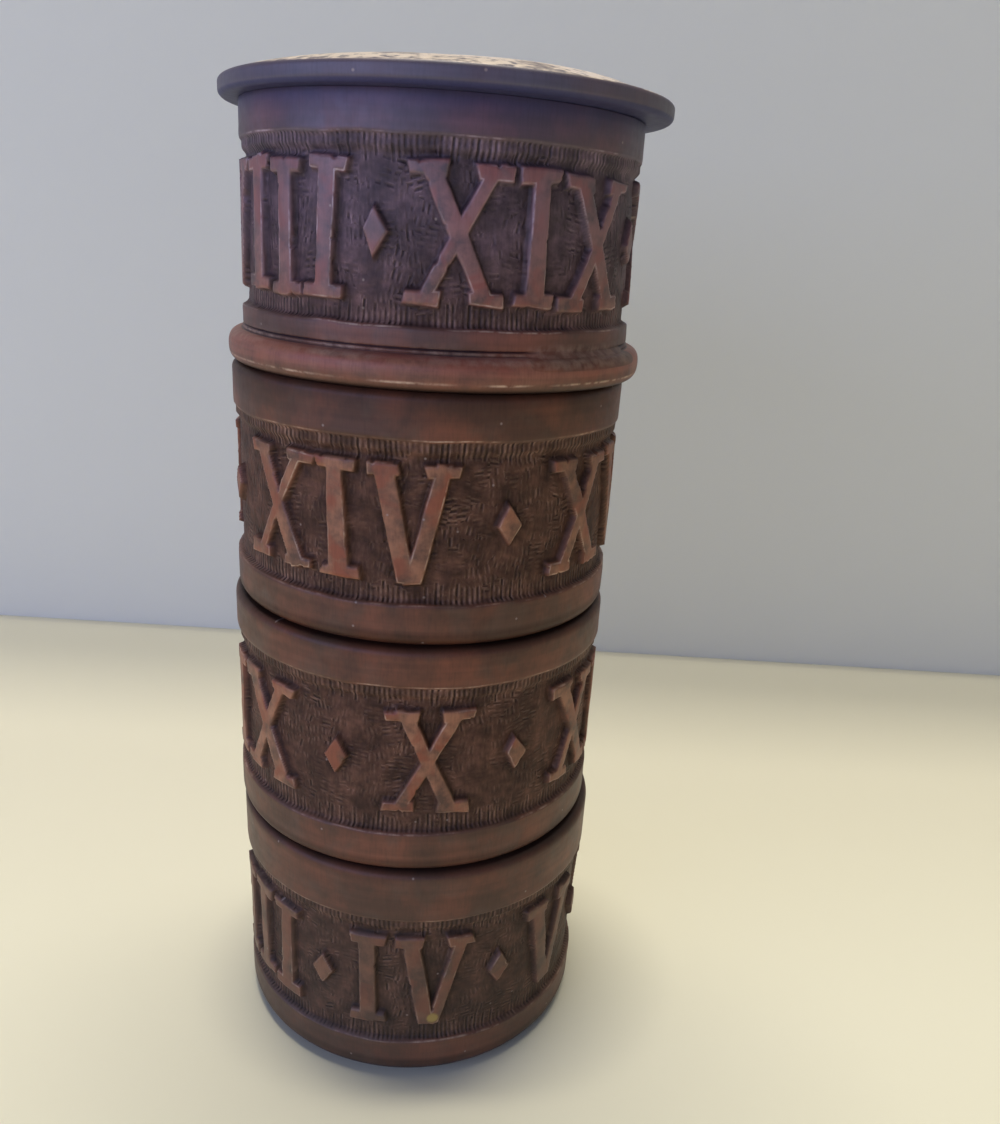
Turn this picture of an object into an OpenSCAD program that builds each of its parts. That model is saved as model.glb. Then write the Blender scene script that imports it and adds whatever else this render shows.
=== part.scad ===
// Spice tower in dark stained hardwood: four turned cups that stack, and a lid.
// Each cup is one turned block, with a well, a neck on top and a socket below.
// The neck of a tier goes into the socket of the tier above it.
// The plug of the lid goes into the mouth of the top tier.
// Round each cup runs a carved band: a sunk ground with raised numerals and stops.

/* [Base tier] */
// Height from the table to the shoulder
base_h = 50; // [42:0.5:60]
// Plain band under the carved band
base_low_band = 9; // [6:0.5:11]
// Plain band over the carved band
base_high_band = 11; // [5:0.5:12]
// Round on its foot
base_foot_round = 3.8; // [0.5:0.1:5]

/* [Third tier] */
// Height from its seat to its shoulder
third_h = 46.5; // [42:0.5:60]
// Plain band under the carved band
third_low_band = 8.5; // [6:0.5:11]
// Plain band over the carved band
third_high_band = 7.5; // [5:0.5:11]

/* [Second tier] */
// Height from its seat to its shoulder
second_h = 45; // [42:0.5:60]
// Plain band under the carved band
second_low_band = 8; // [6:0.5:11]
// Plain band over the carved band
second_high_band = 8; // [5:0.5:11]

/* [Top tier] */
// Height from its seat to its mouth
top_h = 44.5; // [42:0.5:60]
// Bead, quirk and plain band under the carved band
top_low_band = 10; // [9:0.5:12]
// Plain band over the carved band
top_high_band = 6.2; // [5:0.1:11]
// Round on its mouth
mouth_round = 0.3; // [0.3:0.1:1.6]
// How far the top tier stands back from the tiers below
top_inset = 0.9; // [0:0.1:2]
// Height of the bead at its foot
bead_h = 5.8; // [5:0.2:8]
// How far the bead stands out from the top tier
bead_reach = 2.7; // [1:0.1:4]
// Height of the quirk, the narrow groove over the bead
quirk_h = 0.7; // [0.4:0.1:1.2]
// Depth of the quirk
quirk_depth = 0.7; // [0.4:0.1:1.5]

/* [Cups] */
// Radius of the three lower tiers
body_r = 37.5; // [36:0.5:46]
// Wall from the sunk ground to the well
wall = 9.7; // [8:0.1:14]
// Thickness of each floor
floor_t = 5; // [3:0.5:8]
// Round where a well's wall meets its floor
well_round = 2; // [1:0.5:4]
// Round on each shoulder of the three lower tiers
shoulder_round = 1.6; // [0.5:0.1:3]
// Round on the foot of each of the two middle tiers
foot_round = 2.4; // [0.5:0.1:4]

/* [Neck and socket] */
// Wall of a neck
neck_wall = 3.5; // [2.5:0.5:5]
// Height of a neck
neck_h = 8; // [5:0.5:11]
// Round on the outer lip of a neck and of the plug
lip_round = 0.8; // [0.2:0.1:1.2]
// Clearance round a neck or the plug
fit_gap = 0.25; // [0.1:0.05:0.6]
// Clearance over a neck
seat_gap = 0.5; // [0.2:0.1:1.5]

/* [Carved band] */
// Depth of the ground below the plain bands
ground_depth = 1.2; // [0.8:0.1:2.5]
// Height of a numeral
numeral_h = 21; // [14:0.5:22]
// Width of a main stroke
stroke_w = 3.1; // [2:0.1:4]
// Width of a thin stroke
thin_stroke_w = 2.3; // [1.5:0.1:3]
// Height of a serif
serif_h = 2; // [1:0.1:3]
// Width of an upright with its serifs
upright_w = 7.5; // [6:0.1:9]
// Width of the V and the X with their serifs
wide_w = 16.5; // [13:0.5:17]
// Width of each serif on the V and the X
wide_serif_w = 6; // [4:0.2:7]
// Gap between the letters of one numeral
letter_gap = 1.2; // [0.6:0.1:2]
// Width of a lozenge stop
stop_w = 4.4; // [3:0.2:6]
// Height of a lozenge stop
stop_h = 7; // [4:0.5:10]

/* [Lid] */
// How far the rim stands out from the top tier
rim_reach = 4.1; // [3:0.1:7]
// Thickness of the rim
rim_t = 3.5; // [2:0.1:5]
// Round under the rim
rim_round = 1.2; // [0.4:0.1:1.4]
// Round on the rim's upper edge
arris_round = 1; // [0.2:0.1:1.2]
// Rise of the domed top over the rim
dome_rise = 4.5; // [2:0.1:9]
// Height of the plug
plug_h = 7; // [4:0.5:10]

/* [Hidden] */
$fn = 180;
wood_tone = "#4b2a20";
lid_tone = "#5c3a2a";

// Numerals of each band, read to the right, and where each band starts
base_numerals = ["I", "II", "III", "IV", "V", "VI", "VII"];
third_numerals = ["VIII", "IX", "X", "XI", "XII"];
second_numerals = ["XIII", "XIV", "XV", "XVI"];
top_numerals = ["XVII", "XVIII", "XIX", "XX"];
base_turn = -150;
third_turn = -170;
second_turn = -150;
top_turn = -215;

third_seat = base_h;
second_seat = third_seat + third_h;
top_seat = second_seat + second_h;
lid_seat = top_seat + top_h;

well_r = body_r - ground_depth - wall;
neck_r = well_r + neck_wall;
socket_r = neck_r + fit_gap;
socket_depth = neck_h + seat_gap;
top_r = body_r - top_inset;
bead_r = bead_h / 2;
bead_centre = top_r + bead_reach - bead_r;
rim_r = top_r + rim_reach;
plug_r = well_r - fit_gap;
dome_r = rim_r - arris_round;
dome_sphere_r = (dome_r * dome_r + dome_rise * dome_rise) / (2 * dome_rise);

// How far a cut runs past the wood, and how deep a numeral is rooted in it
spare = 1;
root = 0.8;

function sum(v, n) = n == 0 ? 0 : v[n - 1] + sum(v, n - 1);
function letter_w(c) = c == "I" ? upright_w : wide_w;
function letter_start(s, n) = n == 0 ? 0 : letter_start(s, n - 1) + letter_w(s[n - 1]) + letter_gap;
function numeral_w(s) = letter_start(s, len(s)) - letter_gap;

// Quarter disc at an outer corner, up is 1 under the corner's centre and -1 over it
module corner(r, z, round, up) {
    intersection() {
        translate([r - round, z + up * round]) circle(round);
        translate([r - round, up > 0 ? z : z - round]) square(round);
    }
    translate([0, up > 0 ? z : z - round]) square([r - round, round]);
}

// Half section of a turned block from z0 to z1, with its outer edges rounded or left square
module block(r, z0, z1, low_round, high_round) {
    translate([0, z0 + low_round]) square([r, z1 - high_round - z0 - low_round]);
    if (low_round > 0) corner(r, z0, low_round, 1);
    if (high_round > 0) corner(r, z1, high_round, -1);
}

// Half section of a well with a rounded bottom edge, open at the top
module well(floor_z, mouth_z) {
    block(well_r, floor_z, mouth_z + spare, well_round, 0);
}

// Half section of a socket, open at the foot
module socket() {
    translate([0, -spare]) square([socket_r, spare + socket_depth]);
}

// Half section of the sunk ground
module ground(r, h, low_band, high_band) {
    translate([r - ground_depth, low_band]) square([ground_depth + spare, h - low_band - high_band]);
}

// Half section of a tier with a neck
module necked_section(h, low_band, high_band, floor_z, low_round) {
    difference() {
        union() {
            block(body_r, 0, h, low_round, shoulder_round);
            block(neck_r, h - spare, h + neck_h, 0, lip_round);
        }
        ground(body_r, h, low_band, high_band);
        well(floor_z, h + neck_h);
    }
}

// Upright with a serif at each end
module letter_i() {
    stroke(0, 0, stroke_w);
    serif(0, 1, upright_w);
    serif(0, -1, upright_w);
}

// Two strokes that meet at the foot
module letter_v() {
    arm = (wide_w - wide_serif_w) / 2;
    stroke(-thin_stroke_w / 4, -arm, stroke_w);
    stroke(thin_stroke_w / 4, arm, thin_stroke_w);
    serif(-arm, 1, wide_serif_w);
    serif(arm, 1, wide_serif_w);
}

// Two strokes that cross
module letter_x() {
    arm = (wide_w - wide_serif_w) / 2;
    stroke(arm, -arm, stroke_w);
    stroke(-arm, arm, thin_stroke_w);
    for (x = [-arm, arm], end = [-1, 1]) serif(x, end, wide_serif_w);
}

// Slanted bar from the foot at x0 to the head at x1
module stroke(x0, x1, w) {
    half = w / 2;
    low = -numeral_h / 2;
    high = numeral_h / 2;
    polygon([[x0 - half, low], [x0 + half, low], [x1 + half, high], [x1 - half, high]]);
}

// Short bar across a stroke's end
module serif(x, end, w) {
    translate([x, end * (numeral_h - serif_h) / 2]) square([w, serif_h], center = true);
}

module lozenge() {
    polygon([[0, -stop_h / 2], [stop_w / 2, 0], [0, stop_h / 2], [-stop_w / 2, 0]]);
}

// Stands a flat figure upright on the band, facing out at an angle round the tower,
// from the depth where the edge of the widest letter is rooted
module stand(angle, r) {
    inner = r - ground_depth - root;
    depth = sqrt(inner * inner - wide_w * wide_w / 4);
    rotate([0, 0, angle]) rotate([90, 0, 0]) translate([0, 0, depth])
        linear_extrude(r + spare - depth) children();
}

// The numerals of one band, evenly spaced, with a stop midway between each two
module numerals(names, r, turn) {
    widths = [for (name = names) numeral_w(name)];
    gap = (2 * PI * r - sum(widths, len(names))) / len(names);
    degree = 180 / (PI * r);
    for (k = [0 : len(names) - 1]) {
        start = sum(widths, k) + k * gap;
        name = names[k];
        for (n = [0 : len(name) - 1]) {
            place = start + letter_start(name, n) + letter_w(name[n]) / 2;
            stand(turn + place * degree, r) {
                if (name[n] == "I") letter_i();
                if (name[n] == "V") letter_v();
                if (name[n] == "X") letter_x();
            }
        }
        stand(turn + (start + widths[k] + gap / 2) * degree, r) lozenge();
    }
}

// Raised figures of one band, flush with the plain bands and rooted below the ground
module relief(names, r, h, low_band, high_band, turn) {
    band = h - low_band - high_band;
    inner = r - ground_depth - root;
    intersection() {
        translate([0, 0, low_band]) rotate_extrude() translate([inner, 0]) square([r - inner, band]);
        translate([0, 0, low_band + band / 2]) numerals(names, r, turn);
    }
}

module base_tier() {
    color(wood_tone) {
        rotate_extrude() necked_section(base_h, base_low_band, base_high_band, floor_t, base_foot_round);
        relief(base_numerals, body_r, base_h, base_low_band, base_high_band, base_turn);
    }
}

// One of the two middle tiers, with a neck and a socket
module middle_tier(seat, h, low_band, high_band, names, turn) {
    translate([0, 0, seat]) {
        rotate_extrude() difference() {
            necked_section(h, low_band, high_band, socket_depth + floor_t, foot_round);
            socket();
        }
        relief(names, body_r, h, low_band, high_band, turn);
    }
}

module third_tier() {
    color(wood_tone)
        middle_tier(third_seat, third_h, third_low_band, third_high_band, third_numerals, third_turn);
}

module second_tier() {
    color(wood_tone)
        middle_tier(second_seat, second_h, second_low_band, second_high_band, second_numerals, second_turn);
}

// Half section of the top tier: bead at the foot, quirk over it, plain mouth
module top_section() {
    difference() {
        union() {
            block(top_r, bead_r, top_h, 0, mouth_round);
            square([bead_centre, bead_h]);
            intersection() {
                translate([bead_centre, bead_r]) circle(bead_r);
                translate([bead_centre, 0]) square([bead_r, bead_h]);
            }
        }
        translate([top_r - quirk_depth, bead_h]) square([quirk_depth + spare, quirk_h]);
        ground(top_r, top_h, top_low_band, top_high_band);
        well(socket_depth + floor_t, top_h);
        socket();
    }
}

module top_tier() {
    color(wood_tone) translate([0, 0, top_seat]) {
        rotate_extrude() top_section();
        relief(top_numerals, top_r, top_h, top_low_band, top_high_band, top_turn);
    }
}

// Half section of the lid: plug, rim and a shallow domed top
module lid_section() {
    block(rim_r, 0, rim_t, rim_round, arris_round);
    block(plug_r, -plug_h, spare, lip_round, 0);
    intersection() {
        translate([0, rim_t + dome_rise - dome_sphere_r]) circle(dome_sphere_r);
        translate([0, rim_t]) square([dome_r, dome_rise]);
    }
}

module lid() {
    color(lid_tone) translate([0, 0, lid_seat]) rotate_extrude() lid_section();
}

base_tier();
third_tier();
second_tier();
top_tier();
lid();
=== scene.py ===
"""Spice tower: four turned and carved hardwood cups and a lid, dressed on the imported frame."""
import math
from functools import partial

import bpy
import numpy as np
from mathutils import Matrix, Vector


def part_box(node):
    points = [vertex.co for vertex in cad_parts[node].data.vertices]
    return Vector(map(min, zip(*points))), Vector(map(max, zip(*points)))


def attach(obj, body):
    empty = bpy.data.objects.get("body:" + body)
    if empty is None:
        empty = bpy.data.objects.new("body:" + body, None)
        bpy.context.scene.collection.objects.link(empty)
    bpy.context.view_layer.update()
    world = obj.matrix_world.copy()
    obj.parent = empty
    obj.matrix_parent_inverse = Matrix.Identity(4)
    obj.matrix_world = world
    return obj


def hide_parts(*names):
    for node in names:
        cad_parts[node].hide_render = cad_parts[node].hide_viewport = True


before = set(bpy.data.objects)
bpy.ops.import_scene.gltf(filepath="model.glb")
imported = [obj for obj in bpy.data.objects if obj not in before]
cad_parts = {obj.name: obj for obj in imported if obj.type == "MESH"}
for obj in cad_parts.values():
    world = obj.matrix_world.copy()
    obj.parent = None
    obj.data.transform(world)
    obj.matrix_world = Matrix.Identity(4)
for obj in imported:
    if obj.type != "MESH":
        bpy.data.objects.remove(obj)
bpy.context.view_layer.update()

MM = 0.001

# Turned sizes, in millimetres, as the solids have them, but for a sharper edge at the top tier's mouth and a
# bead with a flatter face
BODY_R = 37.5
TOP_R = 36.6
WELL_R = 26.6
NECK_R = 30.1
NECK_H = 8.0
SOCKET_R = 30.35
SOCKET_DEPTH = 8.5
FLOOR_T = 5.0
WELL_ROUND = 2.0
SHOULDER_ROUND = 1.6
TOP_SHOULDER_ROUND = 0.1
FOOT_ROUND = 2.4
BASE_FOOT_ROUND = 3.8
LIP_ROUND = 0.8
BEAD_H = 5.8
BEAD_REACH = 2.7
BEAD_FLATNESS = 0.77
SMALL_BREAK = 0.3
MOUTH_BREAK = 0.5

# Lid sizes, in millimetres, as the solids have them
RIM_R = 40.7
RIM_T = 3.5
RIM_ROUND = 1.2
ARRIS_ROUND = 1.0
DOME_RISE = 4.5
PLUG_R = 26.35
PLUG_H = 7.0

# Carved band, in millimetres
GROUND_DEPTH = 1.2
NUMERAL_H = 21.0
STROKE_W = 3.1
THIN_STROKE_W = 2.3
SERIF_H = 2.0
UPRIGHT_W = 7.5
WIDE_W = 16.5
WIDE_SERIF_W = 6.0
LETTER_GAP = 1.2
STOP_W = 4.4
STOP_H = 7.0

# Hand work on the carving, in millimetres
WALL_SLOPE = 0.42
EDGE_WANDER = 0.11
CORNER_WANDER = 0.2
CHIP_BITE = 0.3
RAMP_REACH = 2.6
GOUGE_PITCH = 0.95
GOUGE_LENGTH = 2.4
GOUGE_DEPTH = 0.22
PATCH_SIZE = 3.4

# Stretch of the grooves over the bead that old wax fills, in degrees to the right of the front
FILL_AT = 46.0
FILL_HALF = 23.0
FILL_EDGE = 6.0
# Face of that wax: heights over the bead's foot, and how far it stands out there, in millimetres
WAX_HEIGHTS = (4.6, 5.6, 6.4, 7.3)
WAX_REACHES = (2.3, 1.5, 0.5, 0.1)

# Columns round a cup, where the carved band takes four for each one elsewhere, and rows up it
PLAIN_COLUMNS = 240
FINE_COLUMNS = 4 * PLAIN_COLUMNS
FINE_ROWS = 81
PLAIN_ROW_H = 0.9
BAND_MARGIN = 0.9

# Bands and numerals of each cup. Shift and flare are how far its outside stands off the true shape:
# to the right, and out at the foot and at the head, in millimetres. The head shade is painted shade at the
# head of the cup under its shoulder, where the piece above overhangs it: its reach in millimetres, how
# sharply it ends, and its most
TIERS = {
    "base_tier": {
        "low": 9.0, "high": 11.0, "turn": -150, "shift": 0.1, "flare": (-0.35, 0.6), "spot": 4.6,
        "rub": 0.6, "head_shade": (1.1, 1, 0.75), "names": ["I", "II", "III", "IV", "V", "VI", "VII"],
    },
    "third_tier": {
        "low": 8.5, "high": 7.5, "turn": -170, "shift": -0.7, "flare": (0.1, 0.5),
        "rub": 1.0, "head_shade": (1.1, 1, 0.75), "names": ["VIII", "IX", "X", "XI", "XII"],
    },
    "second_tier": {
        "low": 8.0, "high": 8.0, "turn": -150, "shift": -0.5, "flare": (-0.1, 0.3),
        "rub": 1.0, "head_shade": (4.0, 1.4, 0.55), "names": ["XIII", "XIV", "XV", "XVI"],
    },
    "top_tier": {
        "low": 10.0, "high": 6.2, "turn": -215, "shift": 0.6, "flare": (0.0, 0.0),
        "rub": 1.0, "head_shade": (3.0, 2, 0.7), "names": ["XVII", "XVIII", "XIX", "XX"],
    },
}

# How the lid stands and has warped, in millimetres: off the axis to the right, the rise of its right side,
# the wear of its rim at both sides, and a swelling of the dome on the right between its middle and the rim
LID_SHIFT = 1.3
LID_RISE = 0.5
LID_WASTE = 0.45
DOME_SKEW = 0.8
SKEW_FROM_R = 8.0
SKEW_FULL_AFTER = 16.0
SKEW_RIM_FADE = 9.0
# Power of the dome's curve: 0.5 is part of an ellipse and 1 a parabola
DOME_FULLNESS = 0.85

# Dust on the dome, whose pale tone is partly a painted reflection at a low angle: patches on a square field
# that is a little wider than the lid, in millimetres
DUST_FIELD = 100.0
DUST_CELLS = 14
DUST_PATCH = 7.0
DUST_AND_SHEEN_MOST = 3.0

# Bead of the top tier, in millimetres over its foot: the gold line of wear, the height above which the top
# is painted paler as painted highlight, and the redder wood with its share, which rises to the top partly as
# painted highlight
GOLD_LINE_Z = 1.55
GOLD_LINE_W = 0.12
PAINTED_LIGHT_FROM_Z = 4.2
RED_HEIGHTS = (0.5, 1.6, 3.6, 4.6)
RED_AND_LIGHT_SHARES = (0.1, 0.3, 0.6, 1.4)

# Heights over the table between which the shades turn cooler and bluer as a painted reflection of cool
# light, and between which dust dulls the lowest cup
REFLECTION_FROM = 140.0
REFLECTION_TO = 172.0
HAZE_FROM = 75.0
HAZE_TO = 8.0

# The photograph's view, from a fit to the rings of the tower: millimetres, degrees and pixels
EYE_BACK = 195.5
EYE_UP = 166.3
VIEW_PITCH = 18.53
VIEW_YAW = 4.58
VIEW_ROLL = 3.48
FOCAL_PIXELS = 976.8
PHOTO_H = 1124

# Studio: the wall's distance from the eye and its height in millimetres, half the table's side in metres
WALL_AWAY = 384.5
WALL_H = 300.0
TABLE_HALF = 4.0
LAMP_TONE = "#fff6e6"
WINDOW_TONE = "#b8c6ff"

# Looks of the wood that the meshes carry at each point: distance to the letters and into the carved band in
# millimetres, tone of the letter, wear of an edge with some painted light on tops, painted shade, and bare
# wood
LOOKS = ("figure", "band", "tone", "wear", "grime", "bare")


def ease(x):
    """Cubic ease from 0 to 1."""
    t = np.clip(x, 0, 1)
    return t * t * (3 - 2 * t)


def soft_noise(turn, z, cells, cell_h, seed):
    """Smooth random field from -1 to 1 that wraps round the tower.

    Random values sit on a lattice with a whole number of cells in a turn, and an eased blend joins them.
    """
    rows = int(np.ceil((z.max() - z.min()) / cell_h)) + 2
    lattice = np.random.default_rng(seed).uniform(-1, 1, (rows, cells))
    u = np.mod(turn, 1) * cells
    v = (z - z.min()) / cell_h
    i = np.floor(u).astype(int) % cells
    j = np.floor(v).astype(int)
    a = ease(u - np.floor(u))
    b = ease(v - j)
    k = (i + 1) % cells
    low = lattice[j, i] * (1 - a) + lattice[j, k] * a
    high = lattice[j + 1, i] * (1 - a) + lattice[j + 1, k] * a
    return low * (1 - b) + high * b


def arc(centre_r, centre_z, radius, start, end, steps):
    """Points on a round of the half section, from one angle to another in degrees."""
    angles = np.radians(np.linspace(start, end, steps + 1))
    return [(centre_r + radius * math.cos(a), centre_z + radius * math.sin(a)) for a in angles]


def bar(x0, x1, w):
    """Corners of a slanted bar from the foot at x0 to the head at x1, anticlockwise."""
    half = w / 2
    top = NUMERAL_H / 2
    return [(x0 - half, -top), (x0 + half, -top), (x1 + half, top), (x1 - half, top)]


def serif(x, end, w):
    """Corners of a serif across a stroke's end, a little narrower on its inner side, anticlockwise."""
    outer = end * NUMERAL_H / 2
    inner = outer - end * SERIF_H
    half = w / 2
    taper = 0.25
    low, high = sorted((outer, inner))
    low_half = half - (taper if low == inner else 0)
    high_half = half - (taper if high == inner else 0)
    return [(x - low_half, low), (x + low_half, low), (x + high_half, high), (x - high_half, high)]


def letter_shapes(letter):
    """The bars and serifs of I, V or X, or the lozenge stop, about the middle of the letter."""
    arm = (WIDE_W - WIDE_SERIF_W) / 2
    if letter == "I":
        return [bar(0, 0, STROKE_W), serif(0, 1, UPRIGHT_W), serif(0, -1, UPRIGHT_W)]
    if letter == "V":
        foot = THIN_STROKE_W / 4
        bars = [bar(-foot, -arm, STROKE_W), bar(foot, arm, THIN_STROKE_W)]
        return bars + [serif(x, 1, WIDE_SERIF_W) for x in (-arm, arm)]
    if letter == "X":
        bars = [bar(arm, -arm, STROKE_W), bar(-arm, arm, THIN_STROKE_W)]
        return bars + [serif(x, end, WIDE_SERIF_W) for x in (-arm, arm) for end in (-1, 1)]
    return [[(0, -STOP_H / 2), (STOP_W / 2, 0), (0, STOP_H / 2), (-STOP_W / 2, 0)]]


def letter_width(letter):
    return UPRIGHT_W if letter == "I" else WIDE_W


def band_letters(names, radius, turn):
    """Each letter and stop of a band with the distance of its middle along the band, in millimetres."""
    widths = [sum(letter_width(c) + LETTER_GAP for c in name) - LETTER_GAP for name in names]
    gap = (2 * math.pi * radius - sum(widths)) / len(names)
    place = math.radians(turn) * radius
    letters = []
    for name, width in zip(names, widths):
        x = place
        for c in name:
            letters.append((c, x + letter_width(c) / 2))
            x += letter_width(c) + LETTER_GAP
        letters.append(("stop", place + width + gap / 2))
        place += width + gap
    return letters


def inside_quad(x, z, corners):
    """Signed distance to a convex outline: the greatest of the distances to its sides, below 0 inside."""
    distance = np.full(x.shape, -1e9)
    for (x0, z0), (x1, z1) in zip(corners, corners[1:] + corners[:1]):
        length = math.hypot(x1 - x0, z1 - z0)
        side = ((x - x0) * (z1 - z0) - (z - z0) * (x1 - x0)) / length
        distance = np.maximum(distance, side)
    return distance


def figure_distance(along, height, letters, girth, rub, rng):
    """Distance to the nearest letter at each point of a band, and a tone for each letter.

    Every corner is moved a little at random, because the figures are cut by hand.
    """
    distance = np.full(along.shape, 9.0)
    tone = np.zeros(along.shape)
    for letter, place in letters:
        x = np.mod(along - place + girth / 2, girth) - girth / 2
        near = np.abs(x[0]) < WIDE_W / 2 + 2
        letter_tone = rub * rng.uniform(0.72, 1.0)
        lean = rng.normal(0, 0.02)
        drop = rng.normal(0, 0.25)
        for shape in letter_shapes(letter):
            corners = [tuple(c + rng.normal(0, CORNER_WANDER) for c in corner) for corner in shape]
            part = inside_quad(x[:, near] + lean * height[:, near], height[:, near] - drop, corners)
            closer = part < distance[:, near]
            tone[:, near] = np.where(closer, letter_tone, tone[:, near])
            distance[:, near] = np.minimum(part, distance[:, near])
    return distance, tone


def carved_zone(tier, radius, low_edge, high_edge, seed):
    """Rows of the carved band: the radius at each point and what the wood looks like there.

    The plain surface drops by the ground's depth over a short slope wherever a point lies outside the
    letters and the plain bands. Under the upper band the ground ramps down, because the cuts run in there.
    """
    girth = 2 * math.pi * radius
    band = high_edge - low_edge
    z = np.linspace(low_edge - BAND_MARGIN, high_edge + BAND_MARGIN, FINE_ROWS)
    turn, z = np.meshgrid(np.arange(FINE_COLUMNS) / FINE_COLUMNS, z)
    along = (turn - 0.5) * girth
    height = z - (low_edge + high_edge) / 2
    rng = np.random.default_rng(seed)
    letters = band_letters(tier["names"], radius, tier["turn"])
    wander = soft_noise(turn, z, 50, 4.6, seed + 10) + 0.35 * soft_noise(turn, z, 180, 1.2, seed + 11)
    chips = ease((soft_noise(turn, z, 150, 1.5, seed + 12) - 0.66) / 0.25)
    figures, tone = figure_distance(along, height, letters, girth, tier["rub"], rng)
    figures = figures + EDGE_WANDER * wander + CHIP_BITE * chips
    edge_line = 0.16 * soft_noise(turn, z, 34, 90.0, seed + 13) + 0.06 * wander
    under = band / 2 - height + edge_line
    bands = np.minimum(height + band / 2 + edge_line, under)
    distance = np.minimum(figures, bands)
    ground = ease(distance / WALL_SLOPE)
    ramp = 0.4 + 0.6 * ease((under - 0.6 * RAMP_REACH) / (0.5 * RAMP_REACH))
    uneven = 0.13 * soft_noise(turn, z, 60, 4.0, seed + 30) + 0.07 * soft_noise(turn, z, 260, 0.9, seed + 31)
    moat = 0.09 * np.exp(-((figures - WALL_SLOPE) / 0.5) ** 2)
    eased_edge = 0.08 * np.exp(-np.abs(distance) / 0.25) * (distance < 0)
    face = 0.05 * soft_noise(turn, z, 40, 6.0, seed + 32) - eased_edge
    level = (1 - ground) * face - ground * (GROUND_DEPTH * ramp + uneven + moat)
    # A bare spot about 2 mm across, at the foot of a letter
    spot = np.hypot((along - tier.get("spot", 999)) / 1.1, height + NUMERAL_H / 2 - 1.6)
    bare = 1 - ease((spot - 0.8) / 0.5)
    plain = np.zeros(turn.shape)
    return radius + level, z, np.stack([figures, bands, tone, plain, plain, bare], -1)


def turned(r, z, inner=False, wear=0.0, grime=0.0, red_polish_and_highlight=0.0):
    """One point of a half section: radius, height, inner (unpolished), wear with some painted highlight,
    painted shade and copper polish with some painted highlight.
    """
    return r, z, inner, wear, grime, red_polish_and_highlight


def bead_profile():
    """Half section of the bead and the two fine grooves over it, which leave a thin fillet between them.

    The bead is half of a superellipse, so that its face is flatter than a round.
    """
    half = BEAD_H / 2
    points = []
    for angle in np.radians(np.linspace(-90, 84, 29)):
        r = TOP_R + BEAD_REACH * math.cos(angle) ** BEAD_FLATNESS
        z = half + half * math.copysign(abs(math.sin(angle)) ** BEAD_FLATNESS, angle)
        # The top of the bead is painted paler and redder as painted highlight, and its foot darker as
        # painted shade
        wear = 1.5 * math.exp(-((z - GOLD_LINE_Z) / GOLD_LINE_W) ** 2) + 0.3 * float(ease(z - PAINTED_LIGHT_FROM_Z))
        red = np.interp(z, RED_HEIGHTS, RED_AND_LIGHT_SHARES)
        points.append(turned(r, z, wear=wear, grime=math.exp(-((z / 0.8) ** 2)), red_polish_and_highlight=float(red)))
    # Stand-off from the wall, height, wear and painted shade of each point: the grooves are painted dark as
    # painted shade
    grooves = [(0.0, 5.86, 0.0, 0.4), (0.08, 5.98, 0.4, 0.1), (0.14, 6.2, 0.6, 0.0), (0.1, 6.42, 0.4, 0.1)]
    grooves += [(-0.5, 6.54, 0.0, 0.7), (-0.5, 6.68, 0.0, 0.7), (-0.03, 6.8, 0.3, 0.1), (0.0, 7.0, 0.1, 0.0)]
    return points + [turned(TOP_R + out, z, wear=wear, grime=grime) for out, z, wear, grime in grooves]


def profile_before(tier_name):
    """Half section of a cup from its underside to the foot of the carved band."""
    low = TIERS[tier_name]["low"] - BAND_MARGIN
    # The underside and the socket's edge are painted dark as painted shade
    if tier_name == "base_tier":
        points = [turned(r, 0.0, grime=1.0) for r in (6, 14, 22, 29)]
    else:
        points = [turned(r, SOCKET_DEPTH, inner=True) for r in (6, 14, 22, 28, SOCKET_R - SMALL_BREAK)]
        heights = (SOCKET_DEPTH - SMALL_BREAK, SOCKET_DEPTH / 2, SMALL_BREAK)
        points += [turned(SOCKET_R, z, inner=True) for z in heights]
        points.append(turned(SOCKET_R + SMALL_BREAK, 0.0, inner=True))
        points.append(turned(33.0, 0.0, inner=True, grime=0.5))
    if tier_name == "top_tier":
        points += bead_profile()
        radius = TOP_R
    else:
        radius = BODY_R
        foot = BASE_FOOT_ROUND if tier_name == "base_tier" else FOOT_ROUND
        # The foot is painted darker towards its underside as painted shade, where it meets the cup below or
        # the table
        for r, z in arc(BODY_R - foot, foot, foot, -90, 0, 12):
            points.append(turned(r, z, grime=max(math.exp(-((z / 0.8) ** 2)), 0.55 * math.exp(-z / 8.0))))
    start = points[-1][1]
    rows = max(2, int((low - start) / PLAIN_ROW_H))
    return points + [turned(radius, z) for z in np.linspace(start, low, rows + 1)[1:-1]]


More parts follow.
